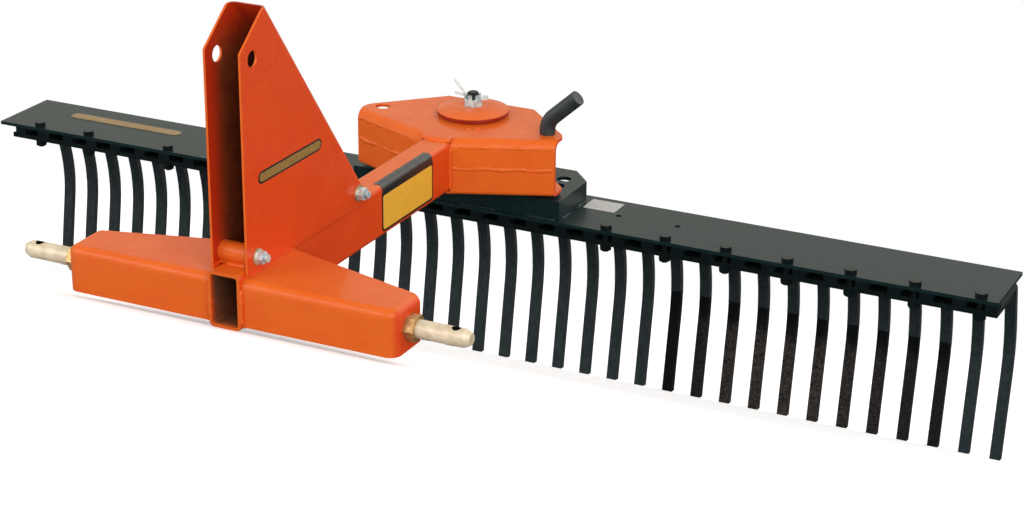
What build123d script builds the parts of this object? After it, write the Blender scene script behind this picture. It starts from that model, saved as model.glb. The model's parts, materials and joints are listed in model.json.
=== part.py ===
"""Landscape rake for a small tractor's three-point hitch.

A hitch beam with two lower link pins, a folded mast and a rectangular tongue carry a pivot housing. Under the
housing a rake head swivels on one bolt: an index box, a flat moldboard and a row of flat spring tines held by a
toothed clamp bar.

The machine is drawn level, in millimetres: +X to the right seen from the hitch end, +Y away from the hitch,
+Z up, the swivel bolt's axis on Z and the moldboard's top face at height 0. Each finished piece is then turned to
the way the rake parks, on its tine tips and the front of the tongue, and set on the floor at height 0.
"""
import os
from math import atan2, cos, degrees, hypot, radians, sin

from build123d import *

# Overrun of every cutting solid, and the clearances
overrun = 1.0
running_gap = 0.3          # between flat faces that slide on each other
bore_clearance = 0.05      # radial, between the pivot tube and the housing
bolt_clearance = 0.4       # radial, round bolts in their holes

# Moldboard
board_length = 1524.0
board_width = 115.0
board_thickness = 4.8
pivot_to_board_front = 61.0
board_hole_dia = 8.0
board_hole_inner = 221.0      # from the middle, to the right
board_hole_outer = 307.0
board_hole_from_front = 61.0

# Tines: a clamped root, a tight bend, then a blade of two straights joined by one arc
tine_pitch = 42.3
tine_right_inset = 7.2     # last tine's middle from the moldboard's right end
tine_left_inset = 30.0     # least distance of a tine's middle from the left end
tine_width = 14.3
tine_thickness = 9.5
tine_root_inset = 15.0     # root end behind the moldboard's front edge
tine_root_length = 65.0
tine_bend_radius = 14.0
tine_lean_back = 14.5      # degrees from straight down, above the arc
tine_upper_length = 50.0
tine_blade_radius = 190.0
tine_lean_forward = 9.5    # degrees from straight down, below the arc
tine_lower_length = 112.0

# Clamp bar under the tine roots, with a turned-up tooth at each tine
clamp_thickness = 6.4
clamp_width = 77.0
clamp_left_inset = 22.0
tooth_width = 18.0
tooth_thickness = 3.0

# Clamp bolts along the front of the moldboard
clamp_bolt_dia = 9.5
clamp_bolt_head_af = 14.3
clamp_bolt_head_height = 7.0
clamp_bolt_nut_height = 8.0
clamp_bolt_end = 2.0
clamp_bolt_from_front = 8.0
clamp_bolt_pitch = 85.35       # evenly spaced from the right, with none under the index box
clamp_bolt_right_inset = 24.1
clamp_bolt_left_end = 66.9     # the uneven ones, from the left end
clamp_bolt_left_middle = 153.8
clamp_bolt_left_inner = 292.7

# Index box on the moldboard
box_half_width = 158.0
box_front_inset = 5.0
box_back_overhang = 12.0
box_corner_cut_x = 30.0
box_corner_cut_y = 33.0
box_height = 28.0
box_wall = 5.0
index_radius = 129.0
index_hole_dia = 20.0
index_hole_count = 3
pin_angle = -12.5          # degrees from +X round the pivot
index_step = 12.5          # degrees between index holes

# Swivel
washer_dia = 130.0
pivot_tube_dia = 60.0
pivot_bolt_dia = 15.9
bolt_head_af = 23.8
bolt_head_height = 10.0
castle_nut_af = 23.8
castle_nut_hex_height = 10.0
castle_crown_dia = 22.0
castle_crown_height = 6.0
castle_slot_width = 4.8
castle_slot_count = 3
bolt_end_above_nut = 3.6
bolt_end_round = 3.0
disc_dia = 99.0
disc_rim = 3.0
disc_rise = 5.7
disc_flat_dia = 36.0
disc_foot_dia = 94.0
disc_foot_wall = 7.0
disc_foot_height = 4.0
cotter_wire_radius = 2.0
cotter_hole_dia = 5.8
cotter_eye_radius = 3.5
cotter_bend_radius = 3.0
cotter_low_rise = 2.0
cotter_high_rise = 18.5
cotter_leg_reach = 17.0

# Pivot housing
washer_height = 4.7
housing_height = 78.0
housing_wall = 4.0
housing_seam_share = 0.475
housing_half_width = 150.0
housing_side_front = 56.0      # front ends of the short sides, ahead of the pivot
housing_side_back = 28.0
housing_nose = 111.0
housing_back = 56.0
housing_back_half_width = 66.0
housing_corner_round = 22.0
housing_top_bend = 14.0
housing_bottom_bend = 6.0
housing_hole_dia = 20.4
housing_lip_round = 3.0        # top edge of the lip over the tongue

# Index pin
index_pin_dia = 19.05
index_pin_end_rise = 0.5       # pin's lower end above the housing's underside
grip_wall = 1.1
grip_straight = 6.0
grip_bend_radius = 26.0
grip_lean = 48.0               # degrees that the handle bends over
grip_end_length = 47.5
grip_end_wall = 2.0

# Tongue
tongue_width = 43.0
tongue_height = 70.0
tongue_wall = 4.0
tongue_corner_round = 7.0
tongue_front = 636.0           # ahead of the pivot
tongue_back = 36.0

# Hitch arms
arm_front = 633.0
arm_half_length = 224.0
arm_depth_inner = 117.5
arm_depth_outer = 61.0
arm_height = 57.5
arm_above_tongue_base = 5.5
arm_wall = 4.0
arm_top_bend = 11.0            # along the front and round the end
arm_end_round = 14.0           # upright corner at the front of the end
arm_back_round = 3.0           # round the rim of the back

# Lower link pins
link_pin_dia = 22.2
link_pin_length = 67.0
link_pin_from_front = 32.0
link_pin_tip_chamfer = 4.0
link_pin_tip_length = 8.0
link_pin_stud_dia = 19.05
link_pin_stud_length = 24.0
linch_hole_dia = 11.0
linch_hole_from_tip = 19.0
link_nut_af = 28.6
link_nut_height = 13.0

# Mast, of one folded plate
mast_wall = 3.0
mast_side_gap = 0.2            # each side, beside the tongue
mast_fold_round = 9.0
mast_front = 622.0
mast_lap = 5.0                 # sides below the tongue's top
mast_front_height = 262.0      # above the tongue's top
mast_top_height = 303.0
mast_top_front = 571.0
mast_top_back = 561.0
mast_top_round = 14.0
mast_slope_foot = 335.0
mast_slope_foot_height = 3.0   # above the tongue's top
mast_foot_back = 341.0
top_link_hole_dia = 19.8
top_link_from_front = 25.0
top_link_above_tongue = 250.5

# Bosses and bolts that hold the mast
boss_dia = 25.4
boss_saddle_width = 17.0
mast_bolt_dia = 9.5
mast_bolt_head_af = 14.3
mast_bolt_head_height = 6.4
mast_nut_height = 8.3
mast_bolt_end = 5.0
mast_washer_dia = 20.6
mast_washer_thickness = 1.8
front_boss_from_front = 22.0
rear_boss_from_foot = 22.0

# Heights and places that follow
board_front = -pivot_to_board_front
board_back = board_front + board_width
root_height = -board_thickness - tine_thickness / 2
clamp_top = -board_thickness - tine_thickness
box_front = board_front + box_front_inset
box_back = board_back + box_back_overhang
housing_base = box_height + washer_height + running_gap
housing_top_height = housing_base + housing_height
housing_seam = housing_base + housing_height * housing_seam_share
disc_seat = housing_top_height + running_gap + disc_foot_height
nut_seat = disc_seat + disc_rim + disc_rise
bolt_top = nut_seat + castle_nut_hex_height + castle_crown_height + bolt_end_above_nut
tongue_base = housing_base + housing_wall
tongue_top = tongue_base + tongue_height
arm_base = tongue_base + arm_above_tongue_base
link_pin_height = arm_base + arm_height / 2
link_pin_y = link_pin_from_front - arm_front
mast_inner_half = tongue_width / 2 + mast_side_gap
mast_outer_half = mast_inner_half + mast_wall
boss_height = tongue_top + boss_dia / 2
index_pin_place = (index_radius * cos(radians(pin_angle)), index_radius * sin(radians(pin_angle)))
tine_count = 1 + int((board_length - tine_right_inset - tine_left_inset) / tine_pitch)
tine_row_middle = board_length / 2 - tine_right_inset - tine_pitch * (tine_count - 1) / 2


def hexagon(across_flats):
    """A regular hexagon, flats to left and right."""
    return RegularPolygon(radius=across_flats / 2, side_count=6, major_radius=False)


# Moldboard
clamp_bolt_y = board_front + clamp_bolt_from_front
clamp_bolt_right = board_length / 2 - clamp_bolt_right_inset
even_run = clamp_bolt_right + board_length / 2 - clamp_bolt_left_inner - clamp_bolt_pitch / 2
clamp_bolt_row = [clamp_bolt_right - step * clamp_bolt_pitch for step in range(1 + int(even_run / clamp_bolt_pitch))]
for inset in (clamp_bolt_left_inner, clamp_bolt_left_middle, clamp_bolt_left_end):
    clamp_bolt_row.append(inset - board_length / 2)
clear_of_box = box_half_width + clamp_bolt_head_af
clamp_bolt_places = [(place, clamp_bolt_y) for place in clamp_bolt_row if abs(place) > clear_of_box]
with BuildPart() as moldboard:
    with BuildSketch(Plane.XY.offset(-board_thickness)):
        with Locations((0, (board_front + board_back) / 2)):
            Rectangle(board_length, board_width)
        board_hole_y = board_front + board_hole_from_front
        with Locations((board_hole_inner, board_hole_y), (board_hole_outer, board_hole_y)):
            Circle(board_hole_dia / 2, mode=Mode.SUBTRACT)
        with Locations(*clamp_bolt_places):
            Circle(clamp_bolt_dia / 2 + bolt_clearance, mode=Mode.SUBTRACT)
    extrude(amount=board_thickness)

# One tine, then the row of them
with BuildPart() as tine:
    with BuildSketch(Plane.YZ):
        with BuildLine():
            root = Line(
                (board_front + tine_root_inset, root_height),
                (board_front + tine_root_inset + tine_root_length, root_height),
            )
            bend = JernArc(root @ 1, root % 1, tine_bend_radius, tine_lean_back - 90)
            upper = PolarLine(bend @ 1, tine_upper_length, tine_lean_back - 90)
            arc = JernArc(upper @ 1, upper % 1, tine_blade_radius, -tine_lean_back - tine_lean_forward)
            blade = PolarLine(arc @ 1, tine_lower_length, -90 - tine_lean_forward)
        trace(line_width=tine_thickness)
    extrude(amount=tine_width / 2, both=True)

with BuildPart() as tines:
    with Locations((tine_row_middle, 0)):
        with GridLocations(tine_pitch, tine_pitch, tine_count, 1):
            add(tine.part)

# Clamp bar: a flat strip with turned-up teeth in front of the tine roots
clamp_left = clamp_left_inset - board_length / 2
clamp_right = board_length / 2
with BuildPart() as clamp_bar:
    with BuildSketch(Plane.XY.offset(clamp_top - clamp_thickness)):
        with Locations(((clamp_left + clamp_right) / 2, board_front + clamp_width / 2)):
            Rectangle(clamp_right - clamp_left, clamp_width)
        with Locations(*clamp_bolt_places):
            Circle(clamp_bolt_dia / 2 + bolt_clearance, mode=Mode.SUBTRACT)
    extrude(amount=clamp_thickness)
    with BuildSketch(Plane.XY.offset(clamp_top)):
        with Locations((tine_row_middle, board_front + tooth_thickness / 2)):
            with GridLocations(tine_pitch, tine_pitch, tine_count, 1):
                Rectangle(tooth_width, tooth_thickness)
        with Locations(((clamp_left + clamp_right) / 2, board_front)):
            Rectangle(clamp_right - clamp_left, clamp_width, mode=Mode.INTERSECT)
    extrude(amount=tine_thickness)

# Clamp bolts: head on the moldboard, nut under the clamp bar
clamp_base = clamp_top - clamp_thickness
clamp_bolt_bottom = clamp_base - clamp_bolt_nut_height - clamp_bolt_end
with BuildPart() as clamp_bolts:
    with BuildSketch():
        with Locations(*clamp_bolt_places):
            hexagon(clamp_bolt_head_af)
    extrude(amount=clamp_bolt_head_height)
    with BuildSketch(Plane.XY.offset(clamp_bolt_bottom)):
        with Locations(*clamp_bolt_places):
            Circle(clamp_bolt_dia / 2)
    extrude(amount=-clamp_bolt_bottom)
    with BuildSketch(Plane.XY.offset(clamp_base - clamp_bolt_nut_height)):
        with Locations(*clamp_bolt_places):
            hexagon(clamp_bolt_head_af)
    extrude(amount=clamp_bolt_nut_height)

# Index box: a plate with cut rear corners on walls that stand on the moldboard
with BuildPart() as index_box:
    with BuildSketch(Plane.XY.offset(box_height - box_wall)):
        with BuildLine():
            half = Polyline(
                (0, box_front),
                (box_half_width, box_front),
                (box_half_width, box_back - box_corner_cut_y),
                (box_half_width - box_corner_cut_x, box_back),
                (0, box_back),
            )
            mirror(half, about=Plane.YZ)
        make_face()
        with PolarLocations(index_radius, index_hole_count, start_angle=pin_angle,
                            angular_range=index_hole_count * index_step):
            Circle(index_hole_dia / 2, mode=Mode.SUBTRACT)
        with PolarLocations(index_radius, index_hole_count, start_angle=180 - pin_angle,
                            angular_range=-index_hole_count * index_step):
            Circle(index_hole_dia / 2, mode=Mode.SUBTRACT)
        Circle(pivot_bolt_dia / 2 + bore_clearance, mode=Mode.SUBTRACT)
    extrude(amount=box_wall)
    wall_back = box_back - box_corner_cut_y
    with BuildSketch():
        with Locations((0, (box_front + wall_back) / 2)):
            Rectangle(2 * box_half_width, wall_back - box_front)
            Rectangle(2 * (box_half_width - box_wall), wall_back - box_front - 2 * box_wall, mode=Mode.SUBTRACT)
    extrude(amount=box_height - box_wall)

# Washer that the housing turns on, and the tube it turns about
with BuildPart() as thrust_washer:
    with BuildSketch(Plane.XY.offset(box_height)):
        Circle(washer_dia / 2)
        Circle(pivot_tube_dia / 2 + bore_clearance, mode=Mode.SUBTRACT)
    extrude(amount=washer_height)

with BuildPart() as pivot_tube:
    with BuildSketch(Plane.XY.offset(box_height)):
        Circle(pivot_tube_dia / 2)
        Circle(pivot_bolt_dia / 2 + bolt_clearance, mode=Mode.SUBTRACT)
    extrude(amount=disc_seat - box_height)

# Domed disc that keeps the housing down
dome_half_width = (disc_dia - disc_flat_dia) / 2
dome_radius = (dome_half_width**2 + disc_rise**2) / (2 * disc_rise)
with BuildPart() as pivot_disc:
    with BuildSketch(Plane.XZ):
        with BuildLine():
            inner = pivot_bolt_dia / 2 + bore_clearance
            foot_inner = disc_foot_dia / 2 - disc_foot_wall
            under = Polyline(
                (inner, nut_seat),
                (inner, disc_seat),
                (foot_inner, disc_seat),
                (foot_inner, disc_seat - disc_foot_height),
                (disc_foot_dia / 2, disc_seat - disc_foot_height),
                (disc_foot_dia / 2, disc_seat),
                (disc_dia / 2, disc_seat),
                (disc_dia / 2, disc_seat + disc_rim),
            )
            dome = RadiusArc(under @ 1, (disc_flat_dia / 2, nut_seat), -dome_radius)
            Line(dome @ 1, under @ 0)
        make_face()
    revolve(axis=Axis.Z)

# Swivel bolt, its castle nut and cotter pin
cotter_height = nut_seat + castle_nut_hex_height + castle_crown_height / 2
with BuildPart() as pivot_bolt:
    with BuildSketch(Plane.XY.offset(box_height - box_wall - bolt_head_height)):
        hexagon(bolt_head_af)
    extrude(amount=bolt_head_height)
    with BuildSketch(Plane.XY.offset(box_height - box_wall)):
        Circle(pivot_bolt_dia / 2)
    extrude(amount=bolt_top - (box_height - box_wall))
    fillet(pivot_bolt.edges().sort_by(Axis.Z)[-1], radius=bolt_end_round)
    with BuildSketch(Plane.YZ):
        with Locations((0, cotter_height)):
            Circle(cotter_hole_dia / 2)
    extrude(amount=pivot_bolt_dia, both=True, mode=Mode.SUBTRACT)

with BuildPart() as castle_nut:
    with BuildSketch(Plane.XY.offset(nut_seat)):
        hexagon(castle_nut_af)
    extrude(amount=castle_nut_hex_height)
    with BuildSketch(Plane.XY.offset(nut_seat + castle_nut_hex_height)):
        Circle(castle_crown_dia / 2)
    extrude(amount=castle_crown_height)
    with BuildSketch(Plane.XY.offset(nut_seat)):
        Circle(pivot_bolt_dia / 2)
    extrude(amount=castle_nut_hex_height + castle_crown_height, mode=Mode.SUBTRACT)
    with BuildSketch(Plane.XY.offset(nut_seat + castle_nut_hex_height)):
        with PolarLocations(0, castle_slot_count, angular_range=180, endpoint=False):
            Rectangle(castle_nut_af, castle_slot_width)
    extrude(amount=castle_crown_height, mode=Mode.SUBTRACT)

cotter_eye_place = castle_crown_dia / 2 + cotter_eye_radius + cotter_wire_radius + running_gap
cotter_bend_place = castle_crown_dia / 2
with BuildPart() as cotter_pin:
    with BuildSketch(Plane.XZ):
        for rise, half_height in (
            (cotter_high_rise, cotter_height + cotter_wire_radius / 2),
            (cotter_low_rise, cotter_height - cotter_wire_radius / 2),
        ):
            with BuildLine():
                FilletPolyline(
                    (cotter_eye_place - cotter_eye_radius, half_height),
                    (-cotter_bend_place, half_height),
                    (-cotter_bend_place - cotter_leg_reach, half_height + rise),
                    radius=cotter_bend_radius,
                )
            trace(line_width=cotter_wire_radius)
    extrude(amount=cotter_wire_radius, both=True)
    with BuildSketch(Plane.XY.offset(cotter_height - cotter_wire_radius)):
        with Locations((cotter_eye_place, 0)):
            Circle(cotter_eye_radius + cotter_wire_radius)
            Circle(cotter_eye_radius - cotter_wire_radius, mode=Mode.SUBTRACT)
    extrude(amount=2 * cotter_wire_radius)


wall_run = housing_half_width - tongue_width / 2
wall_rise = housing_nose - housing_side_front
wall_angle = atan2(wall_rise, wall_run)
fold_plane = Plane(
    (tongue_width / 2, -housing_nose, 0),
    x_dir=(-sin(wall_angle), cos(wall_angle), 0),
    z_dir=(cos(wall_angle), sin(wall_angle), 0),
)


def housing_shell(plate, edge, bend):
    """Half of the housing: a plate whose front is folded along two slanting walls, up to height edge."""
    inward = 1 if edge > plate else -1
    plate_middle = plate + inward * housing_wall / 2
    with BuildPart() as right_half:
        with BuildSketch(fold_plane):
            with BuildLine():
                FilletPolyline(
                    (housing_wall / 2, edge),
                    (housing_wall / 2, plate_middle),
                    (housing_half_width + housing_nose, plate_middle),
                    radius=bend - housing_wall / 2,
                )
            trace(line_width=housing_wall)
        extrude(amount=2 * housing_half_width, both=True)
        with BuildSketch(Plane.XY.offset(min(plate, edge))):
            with BuildLine():
                Polyline(
                    (0, -housing_nose),
                    (tongue_width / 2, -housing_nose),
                    (housing_half_width, -housing_side_front),
                    (housing_half_width, -housing_side_back),
                    (housing_back_half_width, housing_back),
                    (0, housing_back),
                    close=True,
                )
            make_face()
            fillet(vertices().sort_by_distance((housing_half_width, -housing_side_back))[0],
                   radius=housing_corner_round)
        extrude(amount=abs(edge - plate), mode=Mode.INTERSECT)
    with BuildPart() as shell:
        add(right_half.part)
        mirror(right_half.part, about=Plane.YZ)
        with BuildSketch(Plane.XY.offset(min(plate, plate + inward * housing_wall))):
            with Locations((0, -housing_nose / 2)):
                Rectangle(tongue_width, housing_nose)
        extrude(amount=housing_wall)
        lip = shell.edges().filter_by(Axis.X).filter_by(lambda side: side.center().Y < overrun - housing_nose)
        fillet(lip.sort_by(Axis.Z)[-1 if inward < 0 else 0], radius=housing_lip_round)
        with BuildSketch(Plane.XY.offset(min(plate, edge))):
            Circle(pivot_tube_dia / 2 + bore_clearance)
            with Locations(index_pin_place, (-index_pin_place[0], index_pin_place[1])):
                Circle(housing_hole_dia / 2)
        extrude(amount=abs(edge - plate), mode=Mode.SUBTRACT)
        with BuildSketch(Plane.XY.offset(tongue_base)):
            with Locations((0, -housing_nose)):
                Rectangle(tongue_width, 2 * (housing_nose - tongue_back))
        extrude(amount=tongue_height, mode=Mode.SUBTRACT)
    return shell


housing_top = housing_shell(housing_top_height, housing_seam, housing_top_bend)
housing_bottom = housing_shell(housing_base, housing_seam, housing_bottom_bend)

# Index pin, upright through the housing's right-hand holes, bent over inside its grip
pin_x, pin_y = index_pin_place
grip_plane = Plane((pin_x, pin_y, 0), x_dir=(1, 0, 0), z_dir=(0, -1, 0))
pin_foot = housing_base + index_pin_end_rise
with BuildPart() as index_pin:
    with BuildLine(grip_plane):
        shank = Line((0, pin_foot), (0, housing_top_height + grip_straight))
        knee = JernArc(shank @ 1, shank % 1, grip_bend_radius, -grip_lean)
        PolarLine(knee @ 1, grip_end_length - grip_end_wall, 90 - grip_lean)
    with BuildSketch(Plane.XY.offset(pin_foot)):
        with Locations(index_pin_place):
            Circle(index_pin_dia / 2)
    sweep()

with BuildPart() as index_grip:
    with BuildLine(grip_plane):
        stem = Line((0, housing_top_height), (0, housing_top_height + grip_straight))
        knee = JernArc(stem @ 1, stem % 1, grip_bend_radius, -grip_lean)
        PolarLine(knee @ 1, grip_end_length, 90 - grip_lean)
    with BuildSketch(Plane.XY.offset(housing_top_height)):
        with Locations(index_pin_place):
            Circle(index_pin_dia / 2 + grip_wall)
    sweep()
    add(index_pin.part, mode=Mode.SUBTRACT)

# Tongue: a rectangular tube from the hitch to inside the housing
with BuildPart() as tongue_tube:
    with BuildSketch(Plane.XZ.offset(tongue_back)):
        with Locations((0, tongue_base + tongue_height / 2)):
            RectangleRounded(tongue_width, tongue_height, tongue_corner_round)
            RectangleRounded(tongue_width - 2 * tongue_wall, tongue_height - 2 * tongue_wall,
                             tongue_corner_round - tongue_wall, mode=Mode.SUBTRACT)
    extrude(amount=tongue_front - tongue_back)


def arm_block(inset):
    """The right-hand arm's outer form, or with an inset the room inside it."""
    with BuildPart() as block:
        with BuildSketch(Plane.XY.offset(arm_base + inset)):
            with BuildLine():
                Polyline(
                    (tongue_width / 2 - inset, -arm_front),
                    (arm_half_length, -arm_front),
                    (arm_half_length, -arm_front + arm_depth_outer),
                    (tongue_width / 2 - inset, -arm_front + arm_depth_inner),
                    close=True,
                )
            make_face()
            if inset > 0:
                offset(amount=-inset)
            fillet(vertices().group_by(Axis.X)[-1].sort_by(Axis.Y)[0], radius=arm_end_round - inset)
        extrude(amount=arm_height - 2 * inset)
        rim = block.faces().sort_by(Axis.Z)[-1].edges()
        rim = rim.filter_by(lambda edge: edge.center().X > tongue_width / 2 + overrun).sort_by(Axis.Y)
        fillet(rim[:-1], radius=arm_top_bend - inset)
        if inset == 0:
            back_rim = block.faces().sort_by(Axis.Y)[-1].edges()
            fillet(back_rim.filter_by(lambda edge: edge.center().X > tongue_width / 2 + overrun
                                      and edge.center().Z > arm_base + overrun), radius=arm_back_round)
    return block


def hitch_arm():
    """The right-hand arm: folded and hollow, deep at the tongue and shallow at its end."""
    with BuildPart() as arm:
        add(arm_block(0).part)
        add(arm_block(arm_wall).part, mode=Mode.SUBTRACT)
        with BuildSketch(Plane.YZ.offset(arm_half_length - arm_wall - overrun)):
            with Locations((link_pin_y, link_pin_height)):
                Circle(link_pin_stud_dia / 2 + bore_clearance)
        extrude(amount=arm_wall + 2 * overrun, mode=Mode.SUBTRACT)
    return arm


hitch_arm_right = hitch_arm()
with BuildPart() as hitch_arm_left:
    mirror(hitch_arm_right.part, about=Plane.YZ)


def link_pin(side):
    """A lower link pin with a chamfered tip and a linchpin hole, on a stud through the arm's end."""
    nut_face = arm_half_length + link_nut_height
    tip = nut_face + link_pin_length
    with BuildPart() as pin:
        with BuildSketch(Plane.YZ.offset(side * (arm_half_length - link_pin_stud_length))):
            with Locations((link_pin_y, link_pin_height)):
                Circle(link_pin_stud_dia / 2)
        extrude(amount=side * (link_pin_stud_length + link_nut_height))
        with BuildSketch(Plane.YZ.offset(side * nut_face)):
            with Locations((link_pin_y, link_pin_height)):
                Circle(link_pin_dia / 2)
        extrude(amount=side * link_pin_length)
        rim = pin.edges().sort_by(lambda edge: abs(edge.center().X))[-1]
        end_face = pin.faces().sort_by(lambda face: abs(face.center().X))[-1]
        chamfer(rim, length=link_pin_tip_chamfer, length2=link_pin_tip_length, reference=end_face)
        with BuildSketch(Plane.XY.offset(link_pin_height - link_pin_dia)):
            with Locations((side * (tip - linch_hole_from_tip), link_pin_y)):
                Circle(linch_hole_dia / 2)
        extrude(amount=2 * link_pin_dia, mode=Mode.SUBTRACT)
    return pin


def link_nut(side):
    """The large nut between an arm's end and its pin."""
    with BuildPart() as nut:
        with BuildSketch(Plane.YZ.offset(side * arm_half_length)):
            with Locations((link_pin_y, link_pin_height)):
                hexagon(link_nut_af)
                Circle(link_pin_stud_dia / 2, mode=Mode.SUBTRACT)
        extrude(amount=side * link_nut_height)
    return nut


hitch_pin_right = link_pin(1)
hitch_pin_left = link_pin(-1)
hitch_nut_right = link_nut(1)
hitch_nut_left = link_nut(-1)

# Mast: two sides and a sloping back folded from one plate, astride the tongue
mast_foot = tongue_top - mast_lap
mast_top = tongue_top + mast_top_height
slope_foot = tongue_top + mast_slope_foot_height
slope_run = mast_top_back - mast_slope_foot
slope_rise = mast_top - slope_foot
slope_length = hypot(slope_run, slope_rise)
back_shift = mast_wall * slope_length / slope_rise
front_bolt_y = front_boss_from_front - mast_front
rear_bolt_y = -mast_foot_back - rear_boss_from_foot
mast_bolt_places = ((front_bolt_y, boss_height), (rear_bolt_y, boss_height))
top_link_place = (top_link_from_front - mast_front, tongue_top + top_link_above_tongue)
with BuildPart() as mast:
    with BuildSketch(Plane.YZ):
        with BuildLine():
            Polyline(
                (-mast_front, mast_foot),
                (-mast_front, tongue_top + mast_front_height),
                (-mast_top_front, mast_top),
                (-mast_top_back, mast_top),
                (-mast_slope_foot, slope_foot),
                (-mast_foot_back, mast_foot),
                close=True,
            )
        make_face()
        fillet(vertices().sort_by_distance((-mast_top_front, mast_top))[0], radius=mast_top_round)
    extrude(amount=mast_outer_half, both=True)
    back_edges = mast.edges().filter_by(
        lambda edge: abs(edge.length - slope_length) < overrun and abs(edge.center().X) > mast_inner_half)
    fillet(back_edges, radius=mast_fold_round)
with BuildPart() as mast_room:
    with BuildSketch(Plane.YZ):
        with BuildLine():
            Polyline(
                (-mast_front - overrun, mast_top + overrun),
                (-mast_top_back - back_shift - overrun * slope_run / slope_rise, mast_top + overrun),
                (-mast_slope_foot - back_shift, slope_foot),
                (-mast_slope_foot - back_shift + slope_run, slope_foot - slope_rise),
                (-mast_front - overrun, slope_foot - slope_rise),
                close=True,
            )
        make_face()
    extrude(amount=mast_inner_half, both=True)
    room_edges = mast_room.edges().filter_by(
        lambda edge: edge.length > slope_length and abs(edge.center().X) > mast_inner_half - overrun
        and edge.center().Y > -mast_top_front)
    fillet(room_edges, radius=mast_fold_round - mast_wall)
with BuildPart() as mast_plate:
    add(mast.part)
    add(mast_room.part, mode=Mode.SUBTRACT)
    with BuildSketch(Plane.YZ.offset(-mast_outer_half - overrun)):
        with Locations(top_link_place):
            Circle(top_link_hole_dia / 2)
        with Locations(*mast_bolt_places):
            Circle(mast_bolt_dia / 2 + bolt_clearance)
    extrude(amount=2 * (mast_outer_half + overrun), mode=Mode.SUBTRACT)


def mast_boss(place_y):
    """A round boss across the tongue on a narrow saddle, for a mast bolt."""
    with BuildPart() as boss:
        with BuildSketch(Plane.YZ.offset(-mast_inner_half)):
            with Locations((place_y, boss_height)):
                Circle(boss_dia / 2)
            with Locations((place_y, (boss_height + tongue_top) / 2)):
                Rectangle(boss_saddle_width, boss_height - tongue_top)
            with Locations((place_y, boss_height)):
                Circle(mast_bolt_dia / 2 + bolt_clearance, mode=Mode.SUBTRACT)
        extrude(amount=2 * mast_inner_half)
        add(mast_room.part, mode=Mode.INTERSECT)
    return boss


def mast_bolt(place_y):
    """A hex bolt through the mast and a boss, head on the left."""
    with BuildPart() as bolt:
        head_seat = -mast_outer_half - mast_washer_thickness
        with BuildSketch(Plane.YZ.offset(head_seat - mast_bolt_head_height)):
            with Locations((place_y, boss_height)):
                hexagon(mast_bolt_head_af)
        extrude(amount=mast_bolt_head_height)
        with BuildSketch(Plane.YZ.offset(head_seat)):
            with Locations((place_y, boss_height)):
                Circle(mast_bolt_dia / 2)
        extrude(amount=2 * mast_outer_half + 2 * mast_washer_thickness + mast_nut_height + mast_bolt_end)
    return bolt


def mast_nut(place_y):
    """The nut of a mast bolt."""
    with BuildPart() as nut:
        with BuildSketch(Plane.YZ.offset(mast_outer_half + mast_washer_thickness)):
            with Locations((place_y, boss_height)):
                hexagon(mast_bolt_head_af)
                Circle(mast_bolt_dia / 2, mode=Mode.SUBTRACT)
        extrude(amount=mast_nut_height)
    return nut


with BuildPart() as mast_washers:
    for seat in (-mast_outer_half - mast_washer_thickness, mast_outer_half):
        with BuildSketch(Plane.YZ.offset(seat)):
            with Locations(*mast_bolt_places):
                Circle(mast_washer_dia / 2)
                Circle(mast_bolt_dia / 2 + bolt_clearance, mode=Mode.SUBTRACT)
        extrude(amount=mast_washer_thickness)

pieces = {
    "tongue_tube": tongue_tube,
    "hitch_arm_left": hitch_arm_left,
    "hitch_arm_right": hitch_arm_right,
    "hitch_pin_left": hitch_pin_left,
    "hitch_pin_right": hitch_pin_right,
    "hitch_nut_left": hitch_nut_left,
    "hitch_nut_right": hitch_nut_right,
    "mast": mast_plate,
    "mast_boss_front": mast_boss(front_bolt_y),
    "mast_boss_rear": mast_boss(rear_bolt_y),
    "mast_bolt_front": mast_bolt(front_bolt_y),
    "mast_bolt_rear": mast_bolt(rear_bolt_y),
    "mast_nut_front": mast_nut(front_bolt_y),
    "mast_nut_rear": mast_nut(rear_bolt_y),
    "mast_washers": mast_washers,
    "housing_top": housing_top,
    "housing_bottom": housing_bottom,
    "index_pin": index_pin,
    "index_grip": index_grip,
    "index_box": index_box,
    "thrust_washer": thrust_washer,
    "pivot_tube": pivot_tube,
    "pivot_disc": pivot_disc,
    "pivot_bolt": pivot_bolt,
    "castle_nut": castle_nut,
    "cotter_pin": cotter_pin,
    "moldboard": moldboard,
    "clamp_bar": clamp_bar,
    "clamp_bolts": clamp_bolts,
    "tines": tines,
}

# Parked attitude: nose down until the tongue's front edge and the tine tips meet the floor together
tip_middle = blade @ 1
tip_offset = (blade % 1).rotate(Axis.Z, 90) * tine_thickness / 2
tip_corners = (tip_middle + tip_offset, tip_middle - tip_offset)
parked_tilt = max(degrees(atan2(tongue_base - corner.Y, corner.X + tongue_front)) for corner in tip_corners)
for piece in pieces.values():
    piece.part = piece.part.moved(Location((0, 0, 0), (parked_tilt, 0, 0)))
boxes = [piece.part.bounding_box() for piece in pieces.values()]
middle_x = (min(box.min.X for box in boxes) + max(box.max.X for box in boxes)) / 2
middle_y = (min(box.min.Y for box in boxes) + max(box.max.Y for box in boxes)) / 2
floor_height = min(box.min.Z for box in boxes)
set_down = Location((-middle_x, -middle_y, -floor_height))

os.makedirs("parts", exist_ok=True)
for name, piece in pieces.items():
    piece.part = piece.part.moved(set_down)
    piece.part.label = name
    export_step(piece.part, f"parts/{name}.step")
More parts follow.
